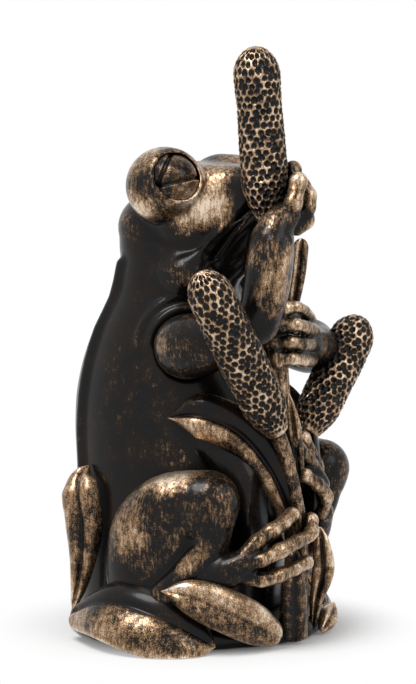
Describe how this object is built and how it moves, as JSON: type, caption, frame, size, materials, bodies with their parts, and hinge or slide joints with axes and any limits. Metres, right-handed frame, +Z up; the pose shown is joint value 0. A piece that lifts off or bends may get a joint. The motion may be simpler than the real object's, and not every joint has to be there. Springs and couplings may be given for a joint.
{
  "type": "frog figurine",
  "caption": "Table ornament of a tree frog sitting up on a round plinth and hugging bulrushes among broad leaves, in cast resin with an antique bronze finish.",
  "frame": {"origin": "on the table plane under the plinth, below the middle of the frog's body", "axes": "+Z up, the frog looks along -Y, its own right side is -X"},
  "size_m": [0.1104, 0.0918, 0.19],
  "materials": {
    "frog_resin": "near-black brown satin coat, rubbed with gold bronze on raised skin",
    "reed_resin": "near-black brown satin coat, rubbed with gold bronze on the net of the spikes",
    "leaf_resin": "near-black brown satin coat, rubbed with gold bronze along leaf edges and ribs",
    "felt": "plain black felt",
    "wire": "plain drawn steel wire"
  },
  "bodies": {
    "root": {"curled_leaf": "leaf_resin", "felt_pad": "felt", "front_leaf": "leaf_resin", "front_reed_blade": "reed_resin", "head": "frog_resin", "left_arm": "frog_resin", "left_back_leaf": "leaf_resin", "left_eye": "frog_resin", "left_flank_leaf": "leaf_resin", "left_foot": "frog_resin", "left_ground_leaf": "leaf_resin", "left_hand": "frog_resin", "left_hind_leg": "frog_resin", "left_spike": "reed_resin", "left_stem": "reed_resin", "low_leaf": "leaf_resin", "plinth": "frog_resin", "right_arm": "frog_resin", "right_back_leaf": "leaf_resin", "right_eye": "frog_resin", "right_flank_leaf": "leaf_resin", "right_foot": "frog_resin", "right_ground_leaf": "leaf_resin", "right_hand": "frog_resin", "right_hind_leg": "frog_resin", "right_spike": "reed_resin", "right_stem": "reed_resin", "sheath_leaf": "leaf_resin", "stem_wires": "wire", "tall_reed_blade": "reed_resin", "tall_spike": "reed_resin", "tall_stem": "reed_resin", "torso": "frog_resin"}
  },
  "joints": []
}
